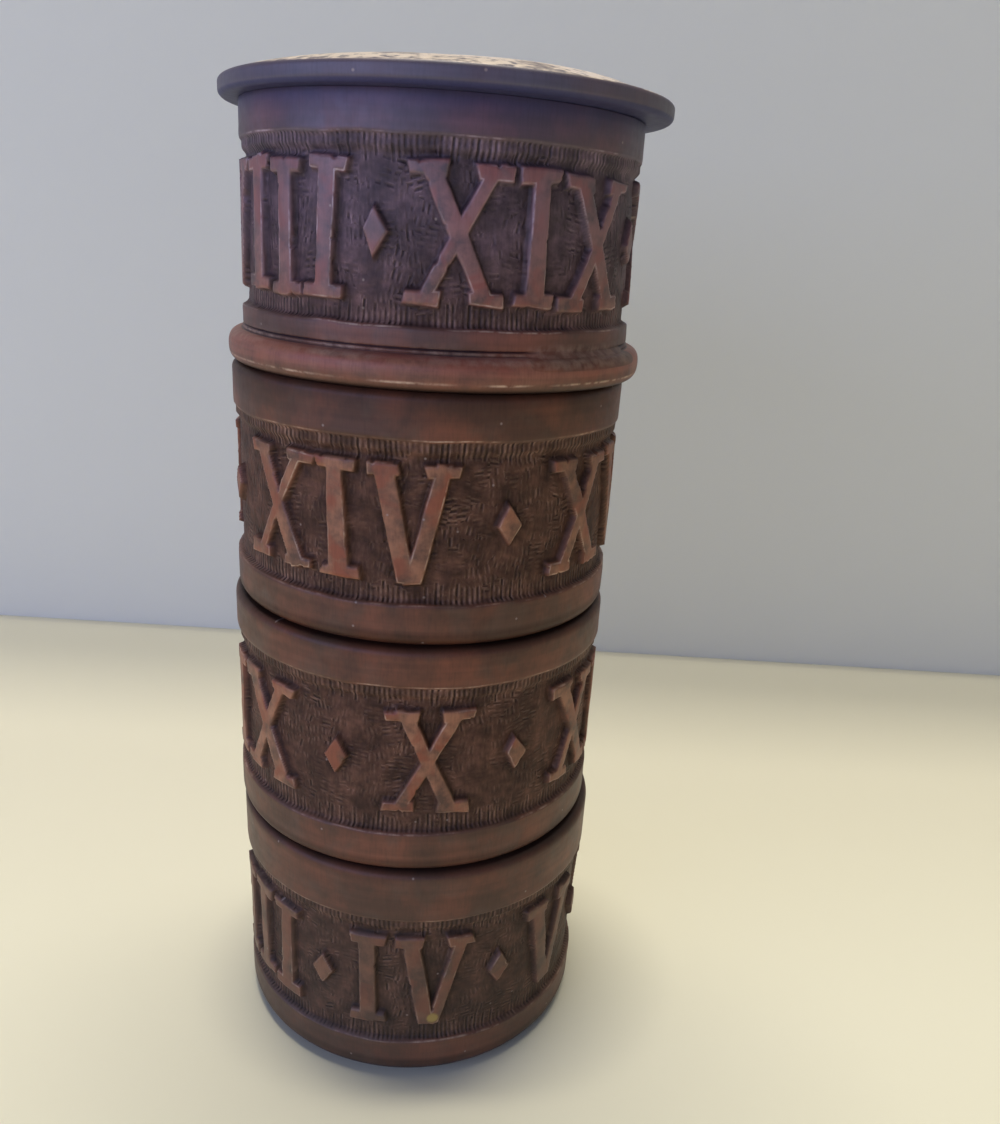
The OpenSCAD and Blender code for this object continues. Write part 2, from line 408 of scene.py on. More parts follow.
def profile_after(tier_name, h):
    """Half section of a cup from the head of the carved band over the shoulder and neck into the well."""
    necked = tier_name != "top_tier"
    radius = BODY_R if necked else TOP_R
    start = h - TIERS[tier_name]["high"] + BAND_MARGIN
    floor = FLOOR_T if tier_name == "base_tier" else SOCKET_DEPTH + FLOOR_T
    shoulder = SHOULDER_ROUND if necked else TOP_SHOULDER_ROUND
    rows = max(2, int((h - shoulder - start) / PLAIN_ROW_H))
    straight = [(radius, z) for z in np.linspace(start, h - shoulder, rows + 1)[1:-1]]
    rounded = arc(radius - shoulder, h - shoulder, shoulder, 0, 90, 8)
    # Painted shade at the head of the cup, under the shoulder where the piece above overhangs it
    fade, sharp, most = TIERS[tier_name]["head_shade"]
    points = []
    for r, z in straight + rounded:
        points.append(turned(r, z, grime=most * math.exp(-(((h - z) / fade) ** sharp))))
    mouth = h
    if necked:
        mouth = h + NECK_H
        # The neck's root is painted darker as painted shade
        points.append(turned(NECK_R + SMALL_BREAK, h, inner=True, grime=0.5))
        points.append(turned(NECK_R, h + SMALL_BREAK, inner=True, grime=0.3))
        points.append(turned(NECK_R, h + NECK_H / 2, inner=True))
        lip = arc(NECK_R - LIP_ROUND, mouth - LIP_ROUND, LIP_ROUND, 0, 90, 5)
        points += [turned(r, z, inner=True, wear=0.2) for r, z in lip]
    brim = arc(WELL_R + MOUTH_BREAK, mouth - MOUTH_BREAK, MOUTH_BREAK, 90, 180, 4)
    points += [turned(r, z, inner=True, wear=0.2) for r, z in brim]
    points += [turned(WELL_R, z, inner=True) for z in np.linspace(mouth - 2, floor + WELL_ROUND + 1, 6)]
    # The well's corner and floor carry painted shade
    corner = arc(WELL_R - WELL_ROUND, floor + WELL_ROUND, WELL_ROUND, 0, -90, 5)
    points += [turned(r, z, inner=True, grime=0.4) for r, z in corner]
    return points + [turned(r, floor, inner=True, grime=0.2) for r in (18, 10, 5)]


def stand_off(turn, z, h, shift, flare):
    """How far the outside of a piece stands off the true turned shape: to one side, and out with height."""
    foot, head = flare
    return shift * np.sin(2 * math.pi * (turn - 0.5)) + foot + (head - foot) * np.clip(z / h, 0, 1)


def plain_rings(points, h, shift, flare, seed):
    """Turned rings for a half section: each carries radius, height and looks for every plain column.

    A polished point counts as the face of a letter, which gives it the same copper finish.
    """
    r, z, inner, wear, grime, red_polish_and_highlight = (np.array(part, float)[:, None] for part in zip(*points))
    turn = np.broadcast_to(np.arange(PLAIN_COLUMNS) / PLAIN_COLUMNS, (len(points), PLAIN_COLUMNS))
    z = np.broadcast_to(z, turn.shape)
    sway = 0.05 * soft_noise(turn, z, 14, 7.0, seed) + stand_off(turn, z, h, shift, flare)
    rub = np.clip(0.5 + 0.7 * soft_noise(turn, z, 40, 2.5, seed + 1), 0, 1)
    zero = np.zeros(turn.shape)
    figure = np.where(red_polish_and_highlight > 0, -1.0, 9.0)
    looks = np.stack([zero + figure, zero - 3, zero + red_polish_and_highlight, wear * rub, grime + zero, zero], -1)
    radius = r + sway * (1 - inner)
    return [(radius[k], z[k], looks[k], bool(inner[k])) for k in range(len(points))]


def fill_grooves(ring):
    """The grooves over the bead run out on a stretch at the right front, where old wax fills them."""
    radius, z, looks, inner = ring
    angle = 360 * (np.arange(PLAIN_COLUMNS) / PLAIN_COLUMNS - 0.5)
    fill = ease((FILL_HALF - np.abs(angle - FILL_AT)) / FILL_EDGE)
    fill = fill * ease((z - BEAD_H + 2.2) / 1.2) * ease((WAX_HEIGHTS[-1] - z) / 0.3)
    smooth = TOP_R + np.interp(z, WAX_HEIGHTS, WAX_REACHES)
    radius = radius + fill * (smooth - radius) * (smooth > radius)
    wax = np.array([9.0, -3.0, 0.0, 0.3, 0.1, 0.0])
    return radius, z, looks + fill[:, None] * (wax - looks), inner


def lathe_mesh(name, rings, start_z, end_z, seat):
    """Closed mesh from rings of points, with a pole at each end.

    Rings of equal count are joined by quads. Where a plain ring meets a fine one, each plain column takes
    one face with the four fine columns beside it.
    """
    counts = [len(ring[0]) for ring in rings]
    starts = np.concatenate([[1], 1 + np.cumsum(counts)])
    total = starts[-1] + 1
    points = np.zeros((total, 3))
    looks = np.zeros((total, len(LOOKS)))
    points[0, 2] = start_z
    points[-1, 2] = end_z
    for (radius, z, look, inner), n, at in zip(rings, counts, starts):
        angle = 2 * math.pi * (np.arange(n) / n - 0.5)
        points[at:at + n] = np.stack([radius * np.sin(angle), -radius * np.cos(angle), z], -1)
        looks[at:at + n] = look
    points[:, 2] += seat
    looks[0] = rings[0][2].mean(0)
    looks[-1] = rings[-1][2].mean(0)
    blocks = []
    j = np.arange(counts[0])
    blocks.append((np.stack([np.zeros_like(j), 1 + (j + 1) % counts[0], 1 + j], -1), rings[0][3]))
    for k in range(len(rings) - 1):
        a, b, n, m = starts[k], starts[k + 1], counts[k], counts[k + 1]
        j = np.arange(min(n, m))
        step = np.arange(5)
        if n == m:
            faces = np.stack([a + j, a + (j + 1) % n, b + (j + 1) % n, b + j], -1)
        elif n < m:
            fine = b + (4 * j[:, None] + step[::-1]) % m
            faces = np.concatenate([np.stack([a + j, a + (j + 1) % n], -1), fine], -1)
        else:
            fine = a + (4 * j[:, None] + step) % n
            faces = np.concatenate([fine, np.stack([b + (j + 1) % m, b + j], -1)], -1)
        blocks.append((faces, rings[k][3] and rings[k + 1][3]))
    j = np.arange(counts[-1])
    a = starts[-2]
    fan = np.stack([a + j, a + (j + 1) % counts[-1], np.full_like(j, total - 1)], -1)
    blocks.append((fan, rings[-1][3]))
    sizes = np.concatenate([np.full(len(f), f.shape[1]) for f, inner in blocks])
    corners = np.concatenate([f.ravel() for f, inner in blocks])
    slots = np.concatenate([np.full(len(f), int(inner)) for f, inner in blocks])
    mesh = bpy.data.meshes.new(name)
    mesh.vertices.add(total)
    mesh.vertices.foreach_set("co", (points * MM).ravel())
    mesh.loops.add(len(corners))
    mesh.loops.foreach_set("vertex_index", corners.astype(np.int32))
    mesh.polygons.add(len(sizes))
    mesh.polygons.foreach_set("loop_start", (np.cumsum(sizes) - sizes).astype(np.int32))
    mesh.polygons.foreach_set("material_index", slots.astype(np.int32))
    mesh.update(calc_edges=True)
    mesh.validate()
    mesh.shade_smooth()
    for n, look in enumerate(LOOKS):
        layer = mesh.attributes.new(look, "FLOAT", "POINT")
        layer.data.foreach_set("value", looks[:, n].astype(np.float32))
    piece = bpy.data.objects.new(name, mesh)
    bpy.context.scene.collection.objects.link(piece)
    return piece


def make_cup(tier_name, seed):
    """One cup of the tower: turned below and above, carved between, with its well, neck and socket."""
    low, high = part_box(tier_name)
    seat = low.z / MM
    necked = tier_name != "top_tier"
    h = (high.z - low.z) / MM - (NECK_H if necked else 0)
    tier = TIERS[tier_name]
    shift, flare = tier["shift"], tier["flare"]
    before = plain_rings(profile_before(tier_name), h, shift, flare, seed)
    if not necked:
        before = [ring if ring[3] else fill_grooves(ring) for ring in before]
    r, z, looks = carved_zone(tier, BODY_R if necked else TOP_R, tier["low"], h - tier["high"], seed)
    turn = np.broadcast_to(np.arange(FINE_COLUMNS) / FINE_COLUMNS, r.shape)
    r = r + stand_off(turn, z, h, shift, flare)
    fine = [(r[k], z[k], looks[k], False) for k in range(FINE_ROWS)]
    after = plain_rings(profile_after(tier_name, h), h, shift, flare, seed + 50)
    start_z = 0.0 if tier_name == "base_tier" else SOCKET_DEPTH
    end_z = FLOOR_T if tier_name == "base_tier" else SOCKET_DEPTH + FLOOR_T
    return lathe_mesh("carved_" + tier_name, before + fine + after, start_z, end_z, seat)


def make_lid(seed):
    """The lid: a plug, a flat thin rim and a shallow dome, a little fuller than part of a sphere.

    The wood has warped and worn with age: it rises a little to the right, its dome is fuller there, and its
    rim is thinner at the sides.
    """
    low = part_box("lid")[0]
    seat = low.z / MM + PLUG_H
    edge = RIM_R - ARRIS_ROUND
    plug = arc(PLUG_R - LIP_ROUND, LIP_ROUND - PLUG_H, LIP_ROUND, -90, 0, 5)
    points = [turned(r, -PLUG_H, inner=True) for r in (6, 14, 22)]
    points += [turned(r, z, inner=True, wear=0.1) for r, z in plug]
    points += [turned(PLUG_R, z, inner=True) for z in (-PLUG_H / 2, -SMALL_BREAK)]
    points.append(turned(PLUG_R + SMALL_BREAK, 0.0, inner=True, grime=0.3))
    # The rim's underside and the foot of its round are painted dark as painted shade
    points += [turned(33, 0.0, grime=0.9), turned(37, 0.0, grime=0.8), turned(39, 0.0, grime=0.8)]
    for r, z in arc(RIM_R - RIM_ROUND, RIM_ROUND, RIM_ROUND, -90, 0, 6):
        points.append(turned(r, z, grime=float(0.85 * ease((0.75 - z) / 0.2))))
    points += [turned(RIM_R, z) for z in np.linspace(RIM_ROUND, RIM_T - ARRIS_ROUND, 4)[1:-1]]
    for r, z in arc(edge, RIM_T - ARRIS_ROUND, ARRIS_ROUND, 0, 75, 7):
        points.append(turned(r, z, wear=float(z > RIM_T - 0.3 * ARRIS_ROUND)))
    for share in np.linspace(0.985, 0.05, 26):
        points.append(turned(edge * share, RIM_T + DOME_RISE * (1 - share ** 2) ** DOME_FULLNESS))
    rings = plain_rings(points, RIM_T, LID_SHIFT, (0.0, 0.0), seed)
    turn = 2 * math.pi * (np.arange(PLAIN_COLUMNS) / PLAIN_COLUMNS - 0.5)
    right = np.sin(turn)
    # Dust on the dome goes into the wear: its pale tone is partly dust and partly a painted reflection at a
    # low angle
    dome = np.stack([ring[0] for ring in rings if ring[1][0] > RIM_T])
    across = 0.5 + dome * right / DUST_FIELD
    patch = soft_noise(across, dome * np.cos(turn), DUST_CELLS, DUST_PATCH, seed + 2)
    dust_and_sheen = DUST_AND_SHEEN_MOST * np.clip(0.65 + 0.7 * patch, 0, 1)
    for ring, ring_dust_and_sheen in zip(rings[-len(dome):], dust_and_sheen):
        ring[2][:, LOOKS.index("wear")] = ring_dust_and_sheen
    warped = []
    for radius, z, looks, inner in rings:
        overhang = np.clip((radius - TOP_R) / (RIM_R - TOP_R), 0, 1)
        outer = np.clip((radius - PLUG_R) / (RIM_R - PLUG_R), 0, 1)
        lift = LID_RISE * overhang * np.clip(right, 0, 1)
        lift = lift - LID_WASTE * outer * np.abs(right) * np.clip(z / RIM_T, 0, 1)
        hump = ease((radius - SKEW_FROM_R) / SKEW_FULL_AFTER) * ease((RIM_R - radius) / SKEW_RIM_FADE)
        hump = hump * (z > RIM_T)
        lift = lift + DOME_SKEW * hump * np.clip(right, 0, 1)
        warped.append((radius, z + (0 if inner else lift), looks, inner))
    return lathe_mesh("turned_lid", warped, -PLUG_H, RIM_T + DOME_RISE, seat)


def linear(code):
    """sRGB hex to linear RGBA."""
    parts = [int(code[n:n + 2], 16) / 255 for n in (1, 3, 5)]
    return tuple(c / 12.92 if c <= 0.04045 else ((c + 0.055) / 1.055) ** 2.4 for c in parts) + (1.0,)


def add(tree, kind, feeds=None, **settings):
    """Adds one node with its settings. Feeds are values for its sockets, or nodes or sockets to link."""
    made = tree.nodes.new("ShaderNode" + kind)
    for name, value in settings.items():
        setattr(made, name, value)
    for name, value in (feeds or {}).items():
        if isinstance(value, bpy.types.Node):
            value = next(socket for socket in value.outputs if socket.enabled)
        if isinstance(value, bpy.types.NodeSocket):
            tree.links.new(value, made.inputs[name])
        else:
            made.inputs[name].default_value = value
    return made


def new_material(name):
    """An empty node material, and a short way to add its nodes."""
    material = bpy.data.materials.new(name)
    material.use_nodes = True
    material.node_tree.nodes.clear()
    return material, partial(add, material.node_tree)


def gouge_slots(node, across, warp):
    """Round slots side by side: depth from 0 to 1 at each point, the slot's number and its random share."""
    place = node("Math", {0: across, 1: 1 / GOUGE_PITCH, 2: warp}, operation="MULTIPLY_ADD")
    number = node("Math", {0: place}, operation="FLOOR")
    off = node("Math", {0: place, 1: 0.5}, operation="PINGPONG")
    chance = node("TexWhiteNoise", {"W": number}, noise_dimensions="1D")
    edge = node("MapRange", {0: chance.outputs["Color"], 3: 0.0, 4: 0.2})
    depth = node("MapRange", {0: off, 1: edge, 2: 0.47}, interpolation_type="SMOOTHSTEP")
    return depth, number, chance


def gouged_ground(node, flat, along, band):
    """How deep a gouge stroke is at each point of the sunk ground, and how high its ridges, from 0 to 1.

    A comb of upright strokes, 2 to 4.6 mm long, stands along both edges of the band. Inside it the strokes
    lie in patches, upright or level, and each is cut with its own force. Some areas are left almost smooth.
    """
    warp = node("TexNoise", {"Vector": flat, "Scale": 1 / 7.0, "Detail": 1.0}, noise_dimensions="2D")
    warp = node("MapRange", {0: warp, 4: 0.6})
    comb_slot, number, chance = gouge_slots(node, along, warp)
    reach = node("MapRange", {0: chance, 3: 2.0, 4: 4.6})
    comb = node("Math", {0: reach, 1: band}, operation="SUBTRACT")
    comb = node("MapRange", {0: comb, 2: 0.7}, interpolation_type="SMOOTHSTEP")
    press = node("MapRange", {0: chance, 3: 0.35, 4: 1.0})
    patches = {"Vector": flat, "Scale": 1 / PATCH_SIZE, "Randomness": 0.8}
    patch = node("TexVoronoi", patches, voronoi_dimensions="2D")
    pick = node("SeparateColor", {0: patch.outputs["Color"]})
    lying = node("Math", {0: pick.outputs[0], 1: 0.62}, operation="GREATER_THAN")
    slant = node("MapRange", {0: pick.outputs[1], 3: -0.25, 4: 0.25})
    turned_by = node("Math", {0: lying, 1: math.pi / 2, 2: slant}, operation="MULTIPLY_ADD")
    inner = node("VectorRotate", {"Vector": flat, "Angle": turned_by}, rotation_type="Z_AXIS")
    inner = node("SeparateXYZ", {0: inner})
    slot, number, chance = gouge_slots(node, inner.outputs[0], warp)
    length = node("Math", {0: inner.outputs[1], 1: 1 / GOUGE_LENGTH, 2: chance}, operation="MULTIPLY_ADD")
    row = node("Math", {0: length}, operation="FLOOR")
    end = node("Math", {0: length, 1: 0.5}, operation="PINGPONG")
    end = node("MapRange", {0: end, 1: 0.05, 2: 0.25}, interpolation_type="SMOOTHSTEP")
    cell = node("CombineXYZ", {0: number, 1: row})
    force = node("TexWhiteNoise", {"Vector": cell}, noise_dimensions="2D")
    force = node("MapRange", {0: force, 1: 0.1, 2: 0.9, 3: 0.15})
    area = node("TexNoise", {"Vector": flat, "Scale": 1 / 8.0, "Detail": 2.0}, noise_dimensions="2D")
    area = node("MapRange", {0: area, 1: 0.38, 2: 0.62, 3: 0.15, 4: 0.95})
    force = node("Math", {0: force, 1: end}, operation="MULTIPLY")
    force = node("Math", {0: force, 1: area}, operation="MULTIPLY")
    worn = node("TexNoise", {"Vector": flat, "Scale": 1 / 1.3, "Detail": 2.0}, noise_dimensions="2D")
    worn = node("MapRange", {0: worn, 1: 0.34, 2: 0.58, 3: 0.3, 4: 1.0})
    slot = node("Mix", {0: comb, 2: slot, 3: comb_slot})
    force = node("Mix", {0: comb, 2: force, 3: press})
    force = node("Math", {0: force, 1: worn}, operation="MULTIPLY")
    cut = node("Math", {0: slot, 1: force}, operation="MULTIPLY")
    crest_highlight = node("Math", {0: force, 1: cut}, operation="SUBTRACT")
    return cut, crest_highlight


def stained_mahogany(name, shades, cool_reflection, shine, dust_and_sheen):
    """Dark stained mahogany, turned, carved and waxed.

    Patches of red and of grey bloom show through a brown-black stain, and faint streaks run round it from
    the lathe. Raised faces are rubbed to a blotchy copper, edges are worn pale, and the sunk ground is dull
    and cut all over with short strokes of a gouge, whose slots are painted dark as painted shade and whose
    ridges pale as painted highlight. The ground is painted darker beside the letters, and undersides,
    joints, grooves and heads under an overhang darker still, all as painted shade. Up the top tier the
    shades turn cooler and bluer, a painted reflection of cool light, and shinier. Where an edge or a top is
    worn, dust gives a pale bloom at a low angle; the pale tone of the lid's dome is partly a painted
    reflection.
    """
    material, node = new_material(name)
    place = node("TexCoord").outputs["Object"]
    carried = (node("Attribute", attribute_name=look).outputs["Fac"] for look in LOOKS)
    figure, band, tone, wear, grime, bare = carried
    # Millimetres round the tower and up it
    point = node("SeparateXYZ", {0: place})
    front = node("Math", {0: point.outputs[1], 1: -1.0}, operation="MULTIPLY")
    angle = node("Math", {0: point.outputs[0], 1: front}, operation="ARCTAN2")
    along = node("Math", {0: angle, 1: BODY_R}, operation="MULTIPLY")
    up = node("Math", {0: point.outputs[2], 1: 1 / MM}, operation="MULTIPLY")
    flat = node("CombineXYZ", {0: along, 1: up})
    # Painted reflection: up the top tier the shades turn cooler and bluer, as if mirroring cool light
    cool = node("MapRange", {0: up, 1: REFLECTION_FROM, 2: REFLECTION_TO}, interpolation_type="SMOOTHSTEP")
    paint = {
        part: node("Mix", {0: cool, 6: linear(shades[part]), 7: linear(cool_reflection[part])}, data_type="RGBA")
        for part in shades
    }
    # The sunk ground and the strokes in it
    sunk = node("Math", {0: figure, 1: band}, operation="MINIMUM")
    ground = node("MapRange", {0: sunk, 1: 0.0, 2: 0.35}, interpolation_type="SMOOTHSTEP")
    cut, crest_highlight = gouged_ground(node, flat, along, band)
    cut = node("Math", {0: cut, 1: ground}, operation="MULTIPLY")
    # Stain: red patches about 13 mm across, grey bloom about 7 mm, streaks 1.5 mm tall and 30 mm long
    patches = {"Vector": place, "Scale": 1 / (13 * MM), "Detail": 4.0, "Roughness": 0.6}
    mottle_noise = node("TexNoise", patches)
    mottle = node("MapRange", {0: mottle_noise, 1: 0.42, 2: 0.7})
    bloom = node("TexNoise", {"Vector": place, "Scale": 1 / (7 * MM), "Detail": 3.0, "Distortion": 0.4})
    bloom = node("MapRange", {0: bloom, 1: 0.5, 2: 0.8, 4: 0.7})
    ring_scale = (1 / (30 * MM), 1 / (30 * MM), 1 / (1.5 * MM))
    streak = node("Mapping", {"Vector": place, "Scale": ring_scale})
    streak = node("TexNoise", {"Vector": streak, "Scale": 1.0, "Detail": 3.0})
    lines = node("MapRange", {0: streak, 1: 0.35, 2: 0.65, 3: 0.84, 4: 1.08})
    # Pores along the grain about 0.35 mm wide and 3 mm long, and dirt about 1.6 mm across
    pore_scale = (1 / (0.35 * MM), 1 / (0.35 * MM), 1 / (3 * MM))
    pore = node("Mapping", {"Vector": place, "Scale": pore_scale})
    pore = node("TexNoise", {"Vector": pore, "Scale": 1.0, "Detail": 2.0})
    dirt = node("TexNoise", {"Vector": place, "Scale": 1 / (1.6 * MM), "Detail": 4.0})
    tint = node("Mix", {0: mottle, 6: paint["stain"], 7: paint["red"]}, data_type="RGBA")
    tint = node("Mix", {0: bloom, 6: tint, 7: paint["bloom"]}, data_type="RGBA")
    # Raised faces: copper rubbed through the stain in blotches about 5 mm across, and red ones of 6 mm
    face = node("MapRange", {0: figure, 1: 0.2, 2: -0.15})
    rub = node("TexNoise", {"Vector": place, "Scale": 1 / (5 * MM), "Detail": 4.0, "Roughness": 0.6})
    rub = node("MapRange", {0: rub, 1: 0.36, 2: 0.6, 3: 0.0, 4: 1.0})
    rub = node("Math", {0: rub, 1: tone}, operation="MULTIPLY")
    rubbed_face = node("Mix", {0: rub, 6: paint["face"], 7: paint["copper"]}, data_type="RGBA")
    rust = node("TexNoise", {"Vector": place, "Scale": 1 / (6 * MM), "Detail": 3.0, "Distortion": 0.6})
    rust = node("MapRange", {0: rust, 1: 0.48, 2: 0.62, 4: tone})
    rubbed_face = node("Mix", {0: rust, 6: rubbed_face, 7: paint["rust"]}, data_type="RGBA")
    tint = node("Mix", {0: face, 6: tint, 7: rubbed_face}, data_type="RGBA")
    # The bead is rubbed to the red wood, which is painted paler and redder towards its top as painted
    # highlight, and like the plain bands it has the streaks of the lathe
    plain = node("MapRange", {0: band, 1: 0.0, 2: -0.3})
    red_polish_and_highlight = node("Math", {0: plain, 1: face}, operation="MULTIPLY")
    red_polish_and_highlight = node("Math", {0: red_polish_and_highlight, 1: tone}, operation="MULTIPLY")
    rings = node("MapRange", {0: streak, 1: 0.38, 2: 0.6, 3: 0.35, 4: 1.0})
    red_polish_and_highlight = node("Math", {0: red_polish_and_highlight, 1: rings}, operation="MULTIPLY")
    tint = node("Mix", {0: red_polish_and_highlight, 6: tint, 7: linear("#8c5445")}, data_type="RGBA")
    tint = node("Mix", {0: plain, 6: tint, 7: lines}, data_type="RGBA", blend_type="MULTIPLY")
    # Sunk ground: blotches about 6 mm across, darker beside the letters as painted shade, ridges painted
    # pale as painted highlight and strokes painted dark as painted shade
    shade = node("MapRange", {0: dirt, 1: 0.35, 2: 0.7, 3: 0.7, 4: 1.35})
    blotch = node("TexNoise", {"Vector": flat, "Scale": 1 / 6.0, "Detail": 3.0}, noise_dimensions="2D")
    blotch = node("MapRange", {0: blotch, 1: 0.35, 2: 0.68, 3: 0.65, 4: 1.3})
    shade_beside_letters = node("MapRange", {0: figure, 1: 0.4, 2: 2.2, 3: 0.75})
    shade = node("Math", {0: shade, 1: blotch}, operation="MULTIPLY")
    shade = node("Math", {0: shade, 1: shade_beside_letters}, operation="MULTIPLY")
    ridges = node("Mix", {0: crest_highlight, 6: paint["ground"], 7: paint["crest_highlight"]}, data_type="RGBA")
    ridges = node("Mix", {0: 1.0, 6: ridges, 7: shade}, data_type="RGBA", blend_type="MULTIPLY")
    tint = node("Mix", {0: ground, 6: tint, 7: ridges}, data_type="RGBA")
    tint = node("Mix", {0: cut, 6: tint, 7: paint["stroke"]}, data_type="RGBA")
    # Pale line on each arris of the letters and the bands, broken by dirt. The carried wear adds its pale
    # tone too, which on the bead's top is painted highlight and on the lid's dome partly a painted
    # reflection
    line = node("Math", {0: sunk, 1: 0.12}, operation="ADD")
    line = node("Math", {0: line}, operation="ABSOLUTE")
    line = node("MapRange", {0: line, 1: 0.2, 2: 0.04, 4: 0.8}, interpolation_type="SMOOTHSTEP")
    patchy = node("MapRange", {0: mottle_noise, 1: 0.46, 2: 0.62, 3: 0.08, 4: 1.0})
    line = node("Math", {0: line, 1: patchy}, operation="MULTIPLY")
    worn = node("Math", {0: line, 1: wear}, operation="MAXIMUM")
    broken = node("MapRange", {0: dirt, 1: 0.36, 2: 0.62})
    worn = node("Math", {0: worn, 1: broken}, operation="MULTIPLY")
    tint = node("Mix", {0: worn, 6: tint, 7: paint["rubbed"]}, data_type="RGBA")
    # Painted shade darkens undersides, joints, grooves and the heads under an overhang
    tint = node("Mix", {0: grime, 6: tint, 7: paint["grime"]}, data_type="RGBA")
    # Open pores darken the grain, and dust from the table dulls the lowest cup
    dark_pore = node("MapRange", {0: pore, 1: 0.32, 2: 0.52, 3: 0.9, 4: 1.02})
    tint = node("Mix", {0: 1.0, 6: tint, 7: dark_pore}, data_type="RGBA", blend_type="MULTIPLY")
    haze = node("MapRange", {0: up, 1: HAZE_FROM, 2: HAZE_TO, 4: 0.35})
    tint = node("Mix", {0: haze, 6: tint, 7: linear("#46443d")}, data_type="RGBA")
    # Specks of pale dust about 0.4 mm across and 20 mm apart
    speck = node("TexVoronoi", {"Vector": flat, "Scale": 1 / 6.0}, voronoi_dimensions="2D")
    few = node("SeparateColor", {0: speck.outputs["Color"]})
    few = node("Math", {0: few.outputs[0], 1: 0.88}, operation="GREATER_THAN")
    speck = node("MapRange", {0: speck.outputs["Distance"], 1: 0.05, 2: 0.015, 4: 0.6})
    speck = node("Math", {0: speck, 1: few}, operation="MULTIPLY")
    tint = node("Mix", {0: speck, 6: tint, 7: linear("#a08f86")}, data_type="RGBA")
    bare_face = node("Math", {0: bare, 1: face}, operation="MULTIPLY")
    tint = node("Mix", {0: bare_face, 6: tint, 7: linear("#9a8348")}, data_type="RGBA")
    gloss = node("MapRange", {0: dirt, 3: 0.38, 4: 0.58})
    dull = node("Math", {0: ground, 1: 0.1, 2: gloss}, operation="MULTIPLY_ADD")
    film = node("Math", {0: wear, 1: dust_and_sheen}, operation="MULTIPLY")
    glint = node("MapRange", {0: cool, 3: shine[0], 4: shine[1]})
    matt = node("MapRange", {0: ground, 3: 1.0, 4: 0.4})
    in_painted_shade = node("MapRange", {0: grime, 3: 1.0, 4: 0.2})
    glint = node("Math", {0: glint, 1: matt}, operation="MULTIPLY")
    glint = node("Math", {0: glint, 1: in_painted_shade}, operation="MULTIPLY")
    grain = node("Math", {0: pore, 1: 0.6, 2: streak}, operation="MULTIPLY_ADD")
    bump = node("Bump", {"Height": grain, "Strength": 0.5, "Distance": 0.05 * MM})
    deep = node("Bump", {"Height": cut, "Distance": GOUGE_DEPTH * MM, "Normal": bump}, invert=True)
    shader = node("BsdfPrincipled", {
        "Base Color": tint, "Roughness": dull, "Normal": deep, "Specular IOR Level": glint,
        "Sheen Weight": film, "Sheen Roughness": 0.3, "Sheen Tint": linear("#efe2cc"),
    })
    node("OutputMaterial", {0: shader})
    return material


def bare_mahogany(name):
    """Unpolished mahogany inside the wells and on the necks: matt, paler and dry, with open pores."""
    material, node = new_material(name)
    place = node("TexCoord").outputs["Object"]
    # Grain lines about 0.5 mm wide and 12 mm long
    grain_scale = (1 / (0.5 * MM), 1 / (0.5 * MM), 1 / (12 * MM))
    grain = node("Mapping", {"Vector": place, "Scale": grain_scale})
    grain = node("TexNoise", {"Vector": grain, "Scale": 1.0, "Detail": 4.0})
    stain = node("TexNoise", {"Vector": place, "Scale": 1 / (11 * MM), "Detail": 3.0})
    share = node("MapRange", {0: stain, 1: 0.4, 2: 0.75, 4: 0.7})
    tint = node("Mix", {0: grain, 6: linear("#4a2e22"), 7: linear("#7a5440")}, data_type="RGBA")
    tint = node("Mix", {0: share, 6: tint, 7: linear("#3d261c")}, data_type="RGBA")
    bump = node("Bump", {"Height": grain, "Strength": 0.5, "Distance": 0.08 * MM})
    shader = node("BsdfPrincipled", {"Base Color": tint, "Roughness": 0.68, "Normal": bump, "IOR": 1.5})
    node("OutputMaterial", {0: shader})
    return material


def make_sheet(name, corners, tones, reach, see_through_back):
    """A plain pale sheet of the studio, with one tone near the view and one at its reach in metres.

    The wall's sheet lets the view through from behind.
    """
    mesh = bpy.data.meshes.new(name)
    mesh.from_pydata(corners, [], [(0, 1, 2, 3)])
    sheet = bpy.data.objects.new(name, mesh)
    bpy.context.scene.collection.objects.link(sheet)
    material, node = new_material("pale_paper_" + name)
    place = node("SeparateXYZ", {0: node("TexCoord").outputs["Object"]})
    away = node("MapRange", {0: place.outputs[1], 1: reach[0], 2: reach[1]}, interpolation_type="SMOOTHSTEP")
    tint = node("Mix", {0: away, 6: linear(tones[0]), 7: linear(tones[1])}, data_type="RGBA")
    surface = node("BsdfPrincipled", {"Base Color": tint, "Roughness": 0.8})
    if see_through_back:
        behind = node("NewGeometry").outputs["Backfacing"]
        surface = node("MixShader", {0: behind, 1: surface, 2: node("BsdfTransparent")})
    node("OutputMaterial", {0: surface})
    mesh.materials.append(material)


def make_studio():
    """Table top, and a wall behind it square to the view, where the photograph has the line between them."""
    half = TABLE_HALF
    yaw = math.radians(VIEW_YAW)
    gap = (WALL_AWAY - EYE_BACK * math.cos(yaw)) * MM
    ahead = Vector((math.sin(yaw), math.cos(yaw), 0))
    side = Vector((math.cos(yaw), -math.sin(yaw), 0)) * half
    high = Vector((0, 0, WALL_H * MM))
    left, right = ahead * gap - side, ahead * gap + side
    table = [(-half, -half, 0), (half, -half, 0), (half, half, 0), (-half, half, 0)]
    # The table is painted darker towards the wall as painted shade
    make_sheet("table", table, ("#e1dfc8", "#d3d0bb"), (-0.05, 0.1), False)
    make_sheet("wall", [left, right, right + high, left + high], ("#e6e6dc", "#e6e6dc"), (0, 1), True)


